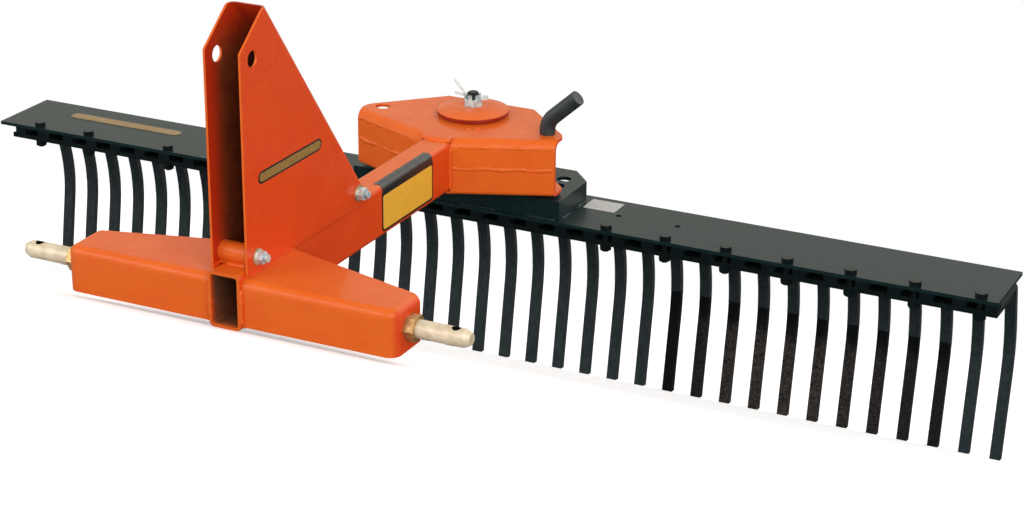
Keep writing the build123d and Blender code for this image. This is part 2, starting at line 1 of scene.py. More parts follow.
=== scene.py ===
"""A landscape rake, parked on its tine tips and its tongue's front: finishes, welds, films, floor and light.

Places are given in the machine's own level frame, in metres: +X right, +Y away from the hitch, +Z up, with
the swivel axis on Z and the moldboard's top face at height 0. LEVEL turns them into the model's parked frame.
"""
import json
from math import atan2, cos, pi, radians, sin

import bpy
from mathutils import Matrix, Vector, noise


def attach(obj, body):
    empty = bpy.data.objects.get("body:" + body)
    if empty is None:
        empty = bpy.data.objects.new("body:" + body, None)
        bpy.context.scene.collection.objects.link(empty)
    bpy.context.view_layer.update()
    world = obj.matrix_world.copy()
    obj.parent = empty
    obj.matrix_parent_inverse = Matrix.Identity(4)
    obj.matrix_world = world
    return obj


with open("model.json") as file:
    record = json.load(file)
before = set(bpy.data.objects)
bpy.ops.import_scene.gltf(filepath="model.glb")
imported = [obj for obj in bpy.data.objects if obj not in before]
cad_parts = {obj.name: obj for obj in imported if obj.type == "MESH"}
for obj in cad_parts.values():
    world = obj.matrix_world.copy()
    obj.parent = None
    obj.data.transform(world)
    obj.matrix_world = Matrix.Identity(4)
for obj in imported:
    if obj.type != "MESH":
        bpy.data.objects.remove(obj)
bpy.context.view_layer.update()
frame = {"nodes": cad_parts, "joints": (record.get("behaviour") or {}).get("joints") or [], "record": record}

scene = bpy.context.scene

# Level frame, from the swivel joint
swivel_point_height = 0.1153          # of the joint's point above the moldboard
swivel = frame["joints"][0]
swivel_axis = Vector(swivel["axis"])
tilt = atan2(-swivel_axis.y, swivel_axis.z)
level_origin = Vector(swivel["pos_m"]) - swivel_axis * swivel_point_height
LEVEL = Matrix.Translation(level_origin) @ Matrix.Rotation(tilt, 4, "X")

hitch, head = "hitch_frame", "rake_head"

# Sizes of the solids that the details sit on, level frame
board_top = 0.0
tongue_half, tongue_base, tongue_top = 0.0215, 0.037, 0.107
tongue_corner = 0.007
arm_front, arm_base, arm_top, arm_back = -0.633, 0.0425, 0.100, -0.5155
arm_bend = 0.011
linch_x, linch_y = 0.285, -0.601
linch_radius = 0.0056                 # a little over the linchpin hole's, so that its wall is inside it
boss_places = (-0.600, -0.363)
boss_saddle_half = 0.0085
mast_half = 0.0247
housing_base, housing_seam, housing_top = 0.033, 0.07005, 0.111
housing_nose = Vector((0.0215, -0.111, 0))
housing_side = Vector((0.150, -0.056, 0))
box_half, box_front = 0.158, -0.056
disc_edge = 0.1182                    # top of the disc's rim

# Hollows painted with shade: half width, low and high end, the Y from and to which the painted shade darkens,
# share at the top
mast_hollow_shade = (0.0219, 0.110, 0.41, -0.620, -0.580, 0.05)
tongue_hollow_shade = (0.0196, 0.0392, 0.1048, -0.640, -0.625, 0.95)
shade_fade = 0.07                     # height below a hollow's top over which its painted shade thins
turned_rearward = 0.3                 # cosine from which a face counts as turned rearward

# The worn tines: where they lie across the board, where the bare band starts, and where the scuff thins out
worn_from, worn_to = 0.268, 0.691
band_top = -0.1145
scuff_low, scuff_high = -0.135, -0.105
worn_edge = 0.002
thread_pitch = 0.0016


# Colours, as linear values
def srgb(red, green, blue):
    """A linear colour from 0-255 display values."""
    def channel(value):
        value /= 255
        return value / 12.92 if value <= 0.04045 else ((value + 0.055) / 1.055) ** 2.4
    return (channel(red), channel(green), channel(blue), 1.0)


white = (1, 1, 1, 1)
orange = srgb(222, 97, 24)
orange_deep = srgb(216, 86, 18)
# Painted shade: redder copies of the orange, used on faces turned sideways
orange_shaded_side = srgb(214, 63, 11)
orange_shaded_side_deep = srgb(208, 53, 8)
black = srgb(11, 29, 31)
black_deep = srgb(7, 21, 23)


class Shader:
    """A material with a Principled shader, and short ways to add nodes to it."""

    def __init__(self, name, color, roughness, metallic=0.0, coat=0.0, coat_roughness=0.1, specular=0.5):
        self.material = bpy.data.materials.new(name)
        self.material.use_nodes = True
        self.tree = self.material.node_tree
        self.shader = self.tree.nodes["Principled BSDF"]
        self.shader.inputs["Base Color"].default_value = color
        self.shader.inputs["Roughness"].default_value = roughness
        self.shader.inputs["Metallic"].default_value = metallic
        self.shader.inputs["Coat Weight"].default_value = coat
        self.shader.inputs["Coat Roughness"].default_value = coat_roughness
        self.shader.inputs["Specular IOR Level"].default_value = specular
        places = self.node("ShaderNodeTexCoord")
        self.coordinates, self.normal = places.outputs["Object"], places.outputs["Normal"]

    def node(self, kind, **values):
        made = self.tree.nodes.new(kind)
        for name, value in values.items():
            setattr(made, name, value)
        return made

    def link(self, source, target):
        self.tree.links.new(source, target)

    def noise(self, scale, detail=3.0, rough=0.55, stretch=None):
        """A noise value from 0 to 1; stretch is a scale for each axis."""
        made = self.node("ShaderNodeTexNoise")
        made.inputs["Scale"].default_value = scale
        made.inputs["Detail"].default_value = detail
        made.inputs["Roughness"].default_value = rough
        source = self.coordinates
        if stretch:
            mapping = self.node("ShaderNodeMapping")
            mapping.inputs["Scale"].default_value = stretch
            self.link(source, mapping.inputs["Vector"])
            source = mapping.outputs["Vector"]
        self.link(source, made.inputs["Vector"])
        return made.outputs["Fac"]

    def ramp(self, source, low, high, from_value=0.0, to_value=1.0):
        """source, spread from low..high to from_value..to_value."""
        made = self.node("ShaderNodeMapRange", clamp=True)
        made.interpolation_type = "SMOOTHSTEP"
        made.inputs["From Min"].default_value = low
        made.inputs["From Max"].default_value = high
        made.inputs["To Min"].default_value = from_value
        made.inputs["To Max"].default_value = to_value
        self.link(source, made.inputs["Value"])
        return made.outputs["Result"]

    def math(self, operation, first, second=None):
        """A sum of one or two values; each is a number or a socket."""
        made = self.node("ShaderNodeMath", operation=operation)
        for socket, value in zip(made.inputs, (first, second)):
            if value is None:
                continue
            if isinstance(value, (int, float)):
                socket.default_value = value
            else:
                self.link(value, socket)
        return made.outputs["Value"]

    def blend(self, factor, first, second):
        """A colour between first and second; each is a colour or a socket."""
        made = self.node("ShaderNodeMix", data_type="RGBA")
        self.link(factor, made.inputs["Factor"])
        for socket, value in ((made.inputs["A"], first), (made.inputs["B"], second)):
            colour_socket = [own for own in made.inputs
                             if own.type == "RGBA" and own.identifier.startswith(socket.name)][0]
            if isinstance(value, tuple):
                colour_socket.default_value = value
            else:
                self.link(value, colour_socket)
        return [own for own in made.outputs if own.type == "RGBA"][0]

    def bump(self, height, strength, distance, under=None):
        """A normal roughened by height; under is the normal that it is laid over."""
        made = self.node("ShaderNodeBump")
        made.inputs["Strength"].default_value = strength
        made.inputs["Distance"].default_value = distance
        self.link(height, made.inputs["Height"])
        if under:
            self.link(under, made.inputs["Normal"])
        return made.outputs["Normal"]

    def eased_edges(self, radius):
        """The normal with sharp edges eased, as paint and plating ease them."""
        made = self.node("ShaderNodeBevel", samples=4)
        made.inputs["Radius"].default_value = radius
        return made.outputs["Normal"]

    def set(self, name, source):
        self.link(source, self.shader.inputs[name])

    def level_position(self):
        """The point's place in the level frame, as separate X, Y and Z."""
        mapping = self.node("ShaderNodeMapping")
        mapping.inputs["Rotation"].default_value = (-tilt, 0, 0)
        mapping.inputs["Location"].default_value = -(Matrix.Rotation(-tilt, 3, "X") @ level_origin)
        self.link(self.coordinates, mapping.inputs["Vector"])
        split = self.node("ShaderNodeSeparateXYZ")
        self.link(mapping.outputs["Vector"], split.inputs["Vector"])
        return split.outputs["X"], split.outputs["Y"], split.outputs["Z"]


def orange_paint(name="orange_enamel", hollow=None, hollow_shade_colours=(srgb(88, 50, 28), srgb(116, 64, 32)), shaded_lining=None,
                 shaded_below=None):
    """Orange enamel: orange peel, fine grain, painted shade as a redder tone on faces turned sideways,
    painted shade inside a hollow.

    The lining colour is painted shade over the hollow; the two darker colours are painted shade, mottled,
    deepening towards the hollow's far end. Both leave out faces turned rearward, which are the outside of
    what closes it. shaded_below is the level height under which the colour is painted shade.
    """
    made = Shader(name, orange, 0.5, coat=0.28, coat_roughness=0.08, specular=0.18)
    tone = made.ramp(made.noise(22.0, 3.0), 0.3, 0.7)
    speck = made.ramp(made.noise(750.0, 2.0), 0.35, 0.7)
    tone = made.math("MULTIPLY", tone, 0.6)
    split = made.node("ShaderNodeSeparateXYZ")
    made.link(made.normal, split.inputs["Vector"])
    # Painted shade: faces turned sideways take the redder orange
    sideways_shade = made.ramp(made.math("ABSOLUTE", split.outputs["X"]), 0.45, 0.95)
    ahead, aside = made.blend(tone, orange, orange_deep), made.blend(tone, orange_shaded_side, orange_shaded_side_deep)
    base = made.blend(sideways_shade, ahead, aside)
    base = made.blend(made.math("MULTIPLY", speck, 0.16), base, srgb(238, 134, 48))
    if hollow:
        half, low, high, near, far, share = hollow
        across, depth, height = made.level_position()
        inside = made.math("LESS_THAN", made.math("ABSOLUTE", across), half)
        inside = made.math("MULTIPLY", inside, made.math("GREATER_THAN", height, low))
        inside = made.math("MULTIPLY", inside, made.math("LESS_THAN", height, high))
        rearward = made.node("ShaderNodeVectorMath", operation="DOT_PRODUCT")
        made.link(made.normal, rearward.inputs[0])
        rearward.inputs[1].default_value = LEVEL.to_3x3() @ Vector((0, 1, 0))
        facing = made.math("LESS_THAN", rearward.outputs["Value"], turned_rearward)
        inside = made.math("MULTIPLY", inside, facing)
        # Painted shade: the hollow's faces take the darker lining colour
        if shaded_lining:
            base = made.blend(inside, base, shaded_lining)
        # Painted shade: darker and mottled towards the hollow's far end, thinning near its top
        thinning = made.ramp(height, high - shade_fade, high, 0.85, share)
        deep = made.math("MULTIPLY", made.ramp(depth, near, far), thinning)
        painted_shade = made.blend(made.ramp(made.noise(60.0, 4.0, 0.65), 0.35, 0.7), *hollow_shade_colours)
        base = made.blend(made.math("MULTIPLY", inside, deep), base, painted_shade)
    # Painted shade: dark red under the disc's rim top, over the rim's side and foot
    if shaded_below:
        low = made.math("LESS_THAN", made.level_position()[2], shaded_below)
        base = made.blend(low, base, srgb(146, 36, 10))
    made.set("Base Color", base)
    made.set("Roughness", made.ramp(made.noise(60.0, 3.0), 0.3, 0.7, 0.46, 0.58))
    peel = made.bump(made.noise(60.0, 2.0), 0.05, 0.002, made.eased_edges(0.0009))
    made.set("Normal", made.bump(made.noise(520.0, 2.0), 0.12, 0.0004, peel))
    return made.material


def black_paint(name="black_enamel", color=black, shade=black_deep, grain=0.2):
    """Satin black enamel with a slight teal cast and fine grain."""
    made = Shader(name, color, 0.4, coat=0.16, coat_roughness=0.24, specular=0.2)
    made.shader.inputs["Specular Tint"].default_value = (0.7, 1, 1, 1)
    tone = made.ramp(made.noise(90.0, 3.0), 0.3, 0.7)
    speck = made.ramp(made.noise(1100.0, 2.0), 0.4, 0.75)
    base = made.blend(tone, color, shade)
    made.set("Base Color", made.blend(made.math("MULTIPLY", speck, grain), base, srgb(50, 80, 80)))
    made.set("Roughness", made.ramp(made.noise(1100.0, 2.0), 0.3, 0.7, 0.36, 0.48))
    made.set("Normal", made.bump(made.noise(900.0, 2.0), 0.12, 0.0002, made.eased_edges(0.0006)))
    return made.material


def tine_steel():
    """Black enamel on spring steel; ten right-hand tines have a bare dark band and a brown scuff below it."""
    made = Shader("tine_enamel", black, 0.42, coat=0.06, coat_roughness=0.3, specular=0.35)
    across, _, height = made.level_position()
    grain = made.noise(240.0, 4.0, 0.65, stretch=(1, 1, 0.35))
    base = made.blend(made.ramp(grain, 0.35, 0.7), srgb(27, 36, 39), srgb(36, 47, 50))
    here = made.math("MULTIPLY", made.ramp(across, worn_from - worn_edge, worn_from + worn_edge),
                     made.ramp(across, worn_to - worn_edge, worn_to + worn_edge, 1.0, 0.0))
    below = made.ramp(height, band_top - worn_edge / 2, band_top + worn_edge / 2, 1.0, 0.0)
    band = made.math("MULTIPLY", here, below)
    rag = made.math("ADD", height, made.math("MULTIPLY", made.noise(55.0, 3.0), 0.05))
    worn = made.math("MULTIPLY", made.ramp(across, 0.28, 0.40), made.ramp(across, 0.46, 0.70, 1.0, 0.25))
    thinning = made.ramp(rag, scuff_low, scuff_high, 1.0, 0.0)
    scuff = made.math("MULTIPLY", made.math("MULTIPLY", here, worn), thinning)
    mottle = made.blend(made.ramp(made.noise(420.0, 4.0, 0.7), 0.4, 0.62), srgb(17, 16, 16), srgb(74, 68, 65))
    base = made.blend(made.math("MULTIPLY", band, 0.92), base, srgb(5, 7, 8))
    made.set("Base Color", made.blend(made.math("MULTIPLY", scuff, 0.9), base, mottle))
    made.set("Roughness", made.ramp(grain, 0.3, 0.75, 0.36, 0.54))
    made.set("Specular IOR Level", made.ramp(band, 0.0, 1.0, 0.35, 0.1))
    made.set("Normal", made.bump(grain, 0.2, 0.0003, made.eased_edges(0.0006)))
    return made.material


def plated(name, color, shade, roughness, grain=900.0, thread=None, metallic=0.85):
    """Plated steel with fine scratches and a patchy tone; thread is the level axis of a bolt's thread."""
    made = Shader(name, color, roughness, metallic=metallic)
    patch = made.ramp(made.noise(110.0, 3.0), 0.35, 0.7)
    made.set("Base Color", made.blend(patch, color, shade))
    scratch = made.noise(grain, 2.0, 0.6, stretch=(0.15, 1, 1))
    made.set("Roughness", made.ramp(scratch, 0.3, 0.7, max(roughness - 0.08, 0.04), roughness + 0.12))
    surface = made.bump(scratch, 0.15, 0.0002, made.eased_edges(0.0007))
    if thread:
        along = made.level_position()["XYZ".index(thread)]
        turns = made.math("SINE", made.math("MULTIPLY", along, 2 * pi / thread_pitch))
        surface = made.bump(turns, 0.7, 0.0006, surface)
    made.set("Normal", surface)
    return made.material


def turned_pin():
    """Lower link pins: turned steel under pale yellow zinc, with the tool's rings and painted shade, near
    black, in the linchpin hole.
    """
    made = Shader("turned_pin", srgb(232, 216, 188), 0.45, metallic=0.3)
    wave = made.node("ShaderNodeTexWave", bands_direction="X")
    wave.inputs["Scale"].default_value = 260.0
    wave.inputs["Distortion"].default_value = 1.2
    made.link(made.coordinates, wave.inputs["Vector"])
    patch = made.ramp(made.noise(90.0, 3.0), 0.3, 0.7)
    across, depth, _ = made.level_position()
    aside = made.math("SUBTRACT", made.math("ABSOLUTE", across), linch_x)
    along = made.math("SUBTRACT", depth, linch_y)
    apart = made.math("ADD", made.math("MULTIPLY", aside, aside), made.math("MULTIPLY", along, along))
    # Painted shade: the linchpin hole's wall is near black
    hole_shade = made.math("LESS_THAN", apart, linch_radius ** 2)
    base = made.blend(patch, srgb(230, 214, 186), srgb(208, 190, 160))
    made.set("Base Color", made.blend(hole_shade, base, srgb(16, 13, 10)))
    made.set("Roughness", made.ramp(made.noise(300.0, 3.0), 0.3, 0.7, 0.4, 0.54))
    made.set("Normal", made.bump(wave.outputs["Fac"], 0.12, 0.0002, made.eased_edges(0.0008)))
    return made.material


def vinyl():
    """Dipped black vinyl, softly grained."""
    made = Shader("vinyl_sleeve", srgb(32, 42, 44), 0.42)
    patch = made.ramp(made.noise(60.0, 3.0), 0.35, 0.7)
    made.set("Base Color", made.blend(patch, srgb(27, 38, 40), srgb(38, 50, 52)))
    made.set("Roughness", made.ramp(made.noise(200.0, 2.0), 0.3, 0.7, 0.4, 0.55))
    made.set("Normal", made.bump(made.noise(800.0, 2.0), 0.15, 0.0003))
    return made.material


def film(name, color, second, roughness=0.4, grain=300.0):
    """Printed film: an even colour with a slight cloudiness."""
    made = Shader(name, color, roughness)
    made.set("Base Color", made.blend(made.ramp(made.noise(grain, 2.0), 0.35, 0.7), color, second))
    made.set("Roughness", made.ramp(made.noise(90.0, 2.0), 0.3, 0.7, roughness - 0.06, roughness + 0.08))
    made.set("Normal", made.bump(made.noise(900.0, 1.0), 0.06, 0.0002))
    return made.material


orange_enamel = orange_paint()
# The mast and the tongue carry painted shade in their hollows
mast_enamel = orange_paint("orange_enamel_mast", mast_hollow_shade, shaded_lining=srgb(180, 42, 9))
tongue_enamel = orange_paint("orange_enamel_tongue", tongue_hollow_shade, (srgb(62, 52, 38), srgb(84, 66, 44)))
# The disc's rim carries painted shade below disc_edge
disc_enamel = orange_paint("orange_enamel_disc", shaded_below=disc_edge)
bolt_finish = plated("zinc_thread", srgb(206, 221, 223), srgb(166, 180, 183), 0.3, thread="X", metallic=0.4)
pivot_finish = plated("oxide_thread", srgb(60, 58, 54), srgb(34, 33, 32), 0.4, thread="Z")
black_enamel = black_paint()
# Painted shade: a darker copy of the black enamel, for the clamp bar and its bolts, which stand in shade
clamp_shaded_enamel = black_paint("black_enamel_clamp", srgb(7, 14, 15), srgb(3, 8, 9), 0.05)
tine_enamel = tine_steel()
pin_finish = turned_pin()
vinyl_finish = vinyl()
zinc_finish = plated("bright_zinc", srgb(214, 230, 232), srgb(170, 186, 189), 0.24, metallic=0.4)
washer_finish = plated("pale_zinc", srgb(206, 186, 152), srgb(176, 152, 116), 0.34, metallic=0.6)
wire_finish = plated("bright_wire", srgb(222, 228, 226), srgb(188, 194, 191), 0.34, metallic=0.1)
yellow_finish = plated("yellow_zinc", srgb(196, 158, 104), srgb(158, 122, 76), 0.32, metallic=0.7)
chrome_finish = plated("bright_plate", srgb(210, 234, 238), srgb(150, 174, 178), 0.14, metallic=0.45)
oxide_finish = plated("black_oxide", srgb(46, 46, 48), srgb(28, 28, 30), 0.34)
gold_film = film("gold_film", srgb(150, 116, 58), srgb(128, 98, 48), 0.38)
yellow_film = film("yellow_film", srgb(234, 174, 56), srgb(226, 164, 48))
black_film = film("black_film", srgb(30, 34, 36), srgb(22, 25, 27), 0.32)
silver_film = film("silver_film", srgb(196, 196, 192), srgb(170, 170, 168), 0.34)

finishes = {
    "orange_paint": orange_enamel,
    "black_paint": black_enamel,
    "tine_steel": tine_enamel,
    "black_bolts": black_enamel,
    "pin_steel": pin_finish,
    "yellow_plating": yellow_finish,
    "zinc_plating": zinc_finish,
    "bright_plating": chrome_finish,
    "dark_steel": oxide_finish,
    "black_vinyl": vinyl_finish,
}
special_finishes = {
    "mast": mast_enamel,
    "tongue_tube": tongue_enamel,
    "pivot_disc": disc_enamel,
    "clamp_bar": clamp_shaded_enamel,
    "clamp_bolts": clamp_shaded_enamel,
    "mast_washers": washer_finish,
    "cotter_pin": wire_finish,
    "mast_bolt_front": bolt_finish,
    "mast_bolt_rear": bolt_finish,
    "pivot_bolt": pivot_finish,
}
for part in frame["record"]["subparts"]:
    solid = frame["nodes"][part["node"]]
    solid.data.materials.clear()
    solid.data.materials.append(special_finishes.get(part["node"], finishes[part["material_slot"]]))


def piece(name, mesh, material, body):
    """A new object in the parked frame from a mesh in the level frame; printed film has no slot."""
    mesh.transform(LEVEL)
    mesh.materials.append(material)
    made = bpy.data.objects.new(name, mesh)
    scene.collection.objects.link(made)
    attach(made, body)
    return made


def mesh_from(name, points, faces, smooth=False):
    """A mesh in the level frame."""
    mesh = bpy.data.meshes.new(name)
    mesh.from_pydata([tuple(point) for point in points], [], faces)
    mesh.update()
    if smooth:
        mesh.polygons.foreach_set("use_smooth", [True] * len(mesh.polygons))
    return mesh


ripple_pitch, ripple_steps = 0.004, 4
bead_sides = 10
bead_patches = 90                     # unevenness per metre
end_share, end_steps = 0.35, 4        # a bead starts at this share of its size and grows over so many steps
bead_uneven, bead_drift = 0.35, 0.25  # shares of its size and radius


def bead(points, radius, ripple, seed):
    """Points and faces of a weld bead along a path, rippled as it was laid and a little uneven."""
    sides = bead_sides
    path = []
    for start, end in zip(points, points[1:]):
        steps = max(2, int((end - start).length / (ripple_pitch / ripple_steps)))
        path += [start.lerp(end, step / steps) for step in range(steps)]
    path.append(points[-1])
    rings = []
    for number, place in enumerate(path):
        ahead = path[min(number + 1, len(path) - 1)] - path[max(number - 1, 0)]
        along = ahead.normalized()
        side = along.orthogonal().normalized()
        other = along.cross(side)
        wander = noise.noise(place * bead_patches + Vector((seed, 0, 0)))
        from_end = min(number, len(path) - 1 - number)
        ends = min(1.0, end_share + (1 - end_share) * from_end / end_steps)
        wave = (1 + cos(number * 2 * pi / ripple_steps)) / 2
        size = radius * ends * (1 + ripple * wave + bead_uneven * wander)
        middle = place + side * wander * radius * bead_drift
        rings.append([middle + (side * cos(2 * pi * turn / sides) + other * sin(2 * pi * turn / sides)) * size
                      for turn in range(sides)])
    points_out = [point for ring in rings for point in ring]
    faces = []
    for row in range(len(rings) - 1):
        for turn in range(sides):
            first, second = row * sides + turn, row * sides + (turn + 1) % sides
            faces.append((first, second, second + sides, first + sides))
    faces.append(tuple(reversed(range(sides))))
    last = (len(rings) - 1) * sides
    faces.append(tuple(last + turn for turn in range(sides)))
    return points_out, faces


seed_step = 3.7


def beads(name, paths, radius, body, material, ripple=0.18, seed=0.0):
    """One object of several weld beads."""
    all_points, all_faces = [], []
    for number, path in enumerate(paths):
        points, faces = bead([Vector(point) for point in path], radius, ripple, seed + seed_step * number)
        offset = len(all_points)
        all_points += points
        all_faces += [tuple(index + offset for index in face) for face in faces]
    return piece(name, mesh_from(name, all_points, all_faces, smooth=True), material, body)


def rounded_outline(width, height, radius, steps=6):
    """Corner-rounded rectangle about the origin, as 2-D points anticlockwise."""
    outline = []
    for quarter, (sx, sy) in enumerate(((1, 1), (-1, 1), (-1, -1), (1, -1))):
        middle = ((width / 2 - radius) * sx, (height / 2 - radius) * sy)
        for step in range(steps + 1):
            angle = pi / 2 * (quarter + step / steps)
            outline.append((middle[0] + radius * cos(angle), middle[1] + radius * sin(angle)))
    return outline


def plate(name, outline, origin, across, up, thickness, material, body):
    """A thin plate or film: outline in the plane of across and up at origin, standing out from it."""
    across, up = Vector(across).normalized(), Vector(up).normalized()
    out = across.cross(up).normalized() * thickness
    low = [Vector(origin) + across * x + up * y for x, y in outline]
    high = [point + out for point in low]
    count = len(low)
    faces = [tuple(range(count, 2 * count)), tuple(reversed(range(count)))]
    faces += [(turn, (turn + 1) % count, (turn + 1) % count + count, turn + count) for turn in range(count)]
    return piece(name, mesh_from(name, low + high, faces), material, body)


# Radii of the beads, and how far those along the housing's walls are sunk
arm_weld, boss_weld, nose_weld, box_weld = 0.0032, 0.0024, 0.0030, 0.0026
seam_weld, seam_sink = 0.0040, 0.0031
ridge_radius, ridge_sink = 0.0031, 0.0026
cross_half = tongue_half - tongue_corner

# Welds on the hitch
arm_low, arm_high = arm_base + 0.002, arm_top - arm_bend
beads(
    "arm_welds",
    [
        path
        for side in (1, -1)
        for path in (
            [(side * tongue_half, arm_front + arm_bend, arm_top), (side * tongue_half, arm_back, arm_top)],
            [(side * tongue_half, arm_front, arm_low), (side * tongue_half, arm_front, arm_high)],
            [(side * tongue_half, arm_back, arm_low), (side * tongue_half, arm_back, arm_top)],
            [(side * tongue_half, arm_front, arm_base), (side * tongue_half, arm_back, arm_base)],
        )
    ],
    arm_weld, hitch, orange_enamel,
)
beads(
    "boss_welds",
    [
        [(side * cross_half, place + edge * boss_saddle_half, tongue_top) for side in (-1, 1)]
        for place in boss_places
        for edge in (1, -1)
    ],
    boss_weld, hitch, orange_enamel, seed=11.0,
)


def along_wall(share, height, side=1, inset=0.0):
    """A point on the housing's slanting front wall, from its nose (share 0) to its side (share 1)."""
    place = housing_nose.lerp(housing_side, share)
    run = housing_side - housing_nose
    inward = Vector((-run.y, run.x, 0)).normalized() * inset
    return ((place.x + inward.x) * side, place.y + inward.y, height)


# Welds on the housing: its seam, the tongue's way in, and two short runs beside the disc
seam_steps, seam_wander = 6, 0.0009
beads(
    "housing_seam_weld",
    [[along_wall(step / seam_steps, housing_seam + seam_wander * (-1) ** step, side, seam_sink)
      for step in range(seam_steps + 1)]
     for side in (1, -1)],
    seam_weld, hitch, orange_enamel, ripple=0.08, seed=5.0,
)
nose_x, nose_y = tongue_half + 0.0004, housing_nose.y + 0.001
nose_low, nose_high = housing_base + 0.006, tongue_top - 0.008
disc_runs = (((0.0225, -0.0650), (0.0280, -0.0620)), ((0.0330, -0.0590), (0.0400, -0.0550)))
beads(
    "housing_nose_welds",
    [[(side * nose_x, nose_y, height) for height in (nose_low, nose_high)] for side in (1, -1)]
    + [[(side * cross_half, housing_nose.y, height) for side in (-1, 1)]
       for height in (tongue_top, tongue_base)]
    + [[(x, y, housing_top) for x, y in run] for run in disc_runs],
    nose_weld, hitch, orange_enamel, seed=23.0,
)

# Welds between the index box and the moldboard, in runs
front_runs = ((-0.152, -0.112), (-0.080, -0.030), (0.010, 0.062), (0.108, 0.152))
side_runs = ((-0.050, -0.022), (-0.002, 0.030))
beads(
    "index_box_welds",
    [[(start, box_front, board_top), (end, box_front, board_top)] for start, end in front_runs]
    + [[(side * box_half, start, board_top), (side * box_half, end, board_top)]
       for side in (1, -1) for start, end in side_runs],
    box_weld, head, black_enamel, seed=41.0,
)

# The fold line that stands proud along the top of the housing's front walls
ridge_height, ridge_start_share, ridge_steps = 0.1000, 0.07, 4
beads(
    "housing_fold_ridges",
    [[along_wall(ridge_start_share + (1 - ridge_start_share) * step / ridge_steps,
                 ridge_height, side, ridge_sink)
      for step in range(ridge_steps + 1)]
     for side in (1, -1)],
    ridge_radius, hitch, orange_enamel, ripple=0.02, seed=61.0,
)

# Films, left blank: the thickness of one, its gap to the face under it, and the two ways in which they lie
lift = 0.0002
skin = 0.0001
along_side = ((0, 1, 0), (0, 0, 1))
along_top = ((1, 0, 0), (0, 1, 0))


def sticker(name, width, height, radius, origin, across, up, material, body, level=1):
    """A thin rounded film centred at origin; level counts the films that it lies on."""
    outline = rounded_outline(width, height, radius)
    normal = Vector(across).cross(Vector(up)).normalized()
    seat = Vector(origin) + normal * lift * (level - 1)
    return plate(name, outline, seat, across, up, lift, material, body)


# The patch on the tongue's side: a dark border, a yellow field, and a dark header that goes over the corner
side_x = tongue_half + skin
patch_back, patch_front, patch_low, patch_high = -0.160, -0.298, 0.0435, 0.1005
patch_radius = 0.006
patch_middle = (side_x, (patch_back + patch_front) / 2, (patch_low + patch_high) / 2)
patch_width, patch_height = patch_back - patch_front, patch_high - patch_low
sticker("side_patch_border", patch_width, patch_height, patch_radius, patch_middle,
        *along_side, black_film, hitch)
field_high, field_inset, field_radius = 0.0925, 0.003, 0.004
field_low = patch_low + field_inset
field_middle = (side_x, patch_middle[1], (field_high + field_low) / 2)
sticker("side_patch_field", patch_width - 2 * field_inset, field_high - field_low, field_radius, field_middle,
        *along_side, yellow_film, hitch, level=2)
corner_x, corner_z = tongue_half - tongue_corner, tongue_top - tongue_corner
wrap_radius, wrap_steps, wrap_end = tongue_corner + skin, 8, 0.0085
wrap_front, wrap_back = patch_front + 0.001, patch_back - 0.001
patch_wrap = []
for step in range(wrap_steps + 1):
    turn = pi / 2 * step / wrap_steps
    patch_wrap.append((corner_x + wrap_radius * cos(turn), corner_z + wrap_radius * sin(turn)))
patch_wrap.append((wrap_end, tongue_top + skin))
wrap_points, wrap_faces = [], []
for rise in (0, lift * 0.7):
    for x, z in patch_wrap:
        wrap_points += [(x + rise, wrap_front, z + rise), (x + rise, wrap_back, z + rise)]
rows = len(patch_wrap)
for row in range(rows - 1):
    low, high = 2 * row, 2 * (rows + row)
    wrap_faces += [(high, high + 1, high + 3, high + 2), (low, low + 2, low + 3, low + 1),
                   (low, high, high + 2, low + 2), (low + 1, low + 3, high + 3, high + 1)]
wrap_faces += [(0, 1, 2 * rows + 1, 2 * rows), (2 * rows - 2, 4 * rows - 2, 4 * rows - 1, 2 * rows - 1)]
piece("side_patch_wrap", mesh_from("side_patch_wrap", wrap_points, wrap_faces), black_film, hitch)

# The bars on the mast and the board, and the board's label: width, height and corner radius
mast_edge_size, mast_bar_size = (0.143, 0.0150, 0.0074), (0.138, 0.0105, 0.0052)
mast_bar_middle = (mast_half + skin, -0.5215, 0.2125)
sticker("mast_bar_edge", *mast_edge_size, mast_bar_middle, *along_side, black_film, hitch)
sticker("mast_bar", *mast_bar_size, mast_bar_middle, *along_side, gold_film, hitch, level=2)

film_base = board_top + skin
board_edge_size, board_bar_size = (0.197, 0.023, 0.0114), (0.191, 0.018, 0.0089)
board_bar_middle = (-0.587, 0.012, film_base)
sticker("board_bar_edge", *board_edge_size, board_bar_middle, *along_top, black_film, head)
sticker("board_bar", *board_bar_size, board_bar_middle, *along_top, gold_film, head, level=2)
label_size, label_middle = (0.047, 0.036, 0.001), (0.1875, 0.0255, film_base)
sticker("board_label", *label_size, label_middle, *along_top, silver_film, head)


# Camera, as the photograph was taken: level frame place and direction
camera_place = Vector((1.4179, -2.7940, 1.1635))
camera_yaw, camera_pitch, camera_roll = radians(25.9), radians(22.1), radians(0.5)
camera_lens, camera_sensor = 84.5, 36.0
level_reach = cos(camera_pitch)
forward = Vector((-sin(camera_yaw) * level_reach, cos(camera_yaw) * level_reach, -sin(camera_pitch)))
right = Vector((cos(camera_yaw), sin(camera_yaw), 0))
upward = right.cross(forward)
rolled_right = right * cos(camera_roll) + upward * sin(camera_roll)
rolled_up = upward * cos(camera_roll) - right * sin(camera_roll)
camera_turn = Matrix((rolled_right, rolled_up, -forward)).transposed().to_4x4()
camera = bpy.data.objects.new("camera", bpy.data.cameras.new("camera"))
camera.data.lens = camera_lens
camera.data.sensor_width = camera_sensor
camera.data.clip_start, camera.data.clip_end = 0.05, 200.0
camera.matrix_world = LEVEL @ Matrix.Translation(camera_place) @ camera_turn
scene.collection.objects.link(camera)
